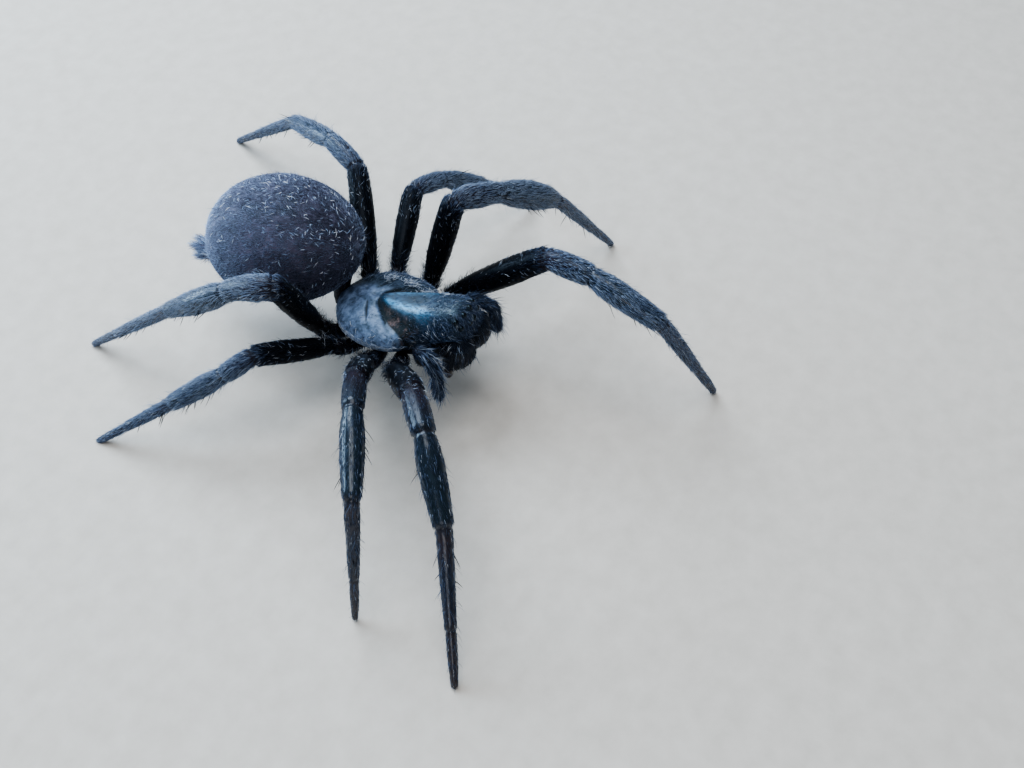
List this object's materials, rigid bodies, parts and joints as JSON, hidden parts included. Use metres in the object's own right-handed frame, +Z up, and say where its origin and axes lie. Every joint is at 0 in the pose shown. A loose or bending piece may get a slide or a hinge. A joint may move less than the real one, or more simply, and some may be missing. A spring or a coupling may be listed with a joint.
{
  "type": "black house spider model",
  "caption": "Life-size still model of an adult female black house spider standing on its feet, legs spread, body raised.",
  "frame": {"origin": "on the floor, under the middle of the box around the legs", "axes": "+Z up; the head faces -Y and the abdomen +Y, so the animal's left side is +X"},
  "size_m": [0.0304, 0.0349, 0.0092],
  "materials": {
    "shield": "glossy blue-black shell with short pale hairs",
    "shell": "glossy near-black shell under short slate-blue and white hairs",
    "velvet": "velvety charcoal skin with short hairs and a few curved white ones",
    "eye": "glossy black lens",
    "fang": "glossy dark red-brown horn"
  },
  "bodies": {
    "root": {"abdomen": "velvet", "carapace": "shield", "chelicera_L": "shell", "chelicera_R": "shell", "eye_front_middle_L": "eye", "eye_front_middle_R": "eye", "eye_front_side_L": "eye", "eye_front_side_R": "eye", "eye_rear_middle_L": "eye", "eye_rear_middle_R": "eye", "eye_rear_side_L": "eye", "eye_rear_side_R": "eye", "fang_L": "fang", "fang_R": "fang", "leg_L1_femur": "shell", "leg_L1_foot": "shell", "leg_L1_hip": "shell", "leg_L1_tibia": "shell", "leg_L2_femur": "shell", "leg_L2_foot": "shell", "leg_L2_hip": "shell", "leg_L2_tibia": "shell", "leg_L3_femur": "shell", "leg_L3_foot": "shell", "leg_L3_hip": "shell", "leg_L3_tibia": "shell", "leg_L4_femur": "shell", "leg_L4_foot": "shell", "leg_L4_hip": "shell", "leg_L4_tibia": "shell", "leg_R1_femur": "shell", "leg_R1_foot": "shell", "leg_R1_hip": "shell", "leg_R1_tibia": "shell", "leg_R2_femur": "shell", "leg_R2_foot": "shell", "leg_R2_hip": "shell", "leg_R2_tibia": "shell", "leg_R3_femur": "shell", "leg_R3_foot": "shell", "leg_R3_hip": "shell", "leg_R3_tibia": "shell", "leg_R4_femur": "shell", "leg_R4_foot": "shell", "leg_R4_hip": "shell", "leg_R4_tibia": "shell", "palp_L_femur": "shell", "palp_L_tip": "shell", "palp_R_femur": "shell", "palp_R_tip": "shell", "pedicel": "shell", "spinnerets": "velvet", "sternum": "shell"}
  },
  "joints": []
}
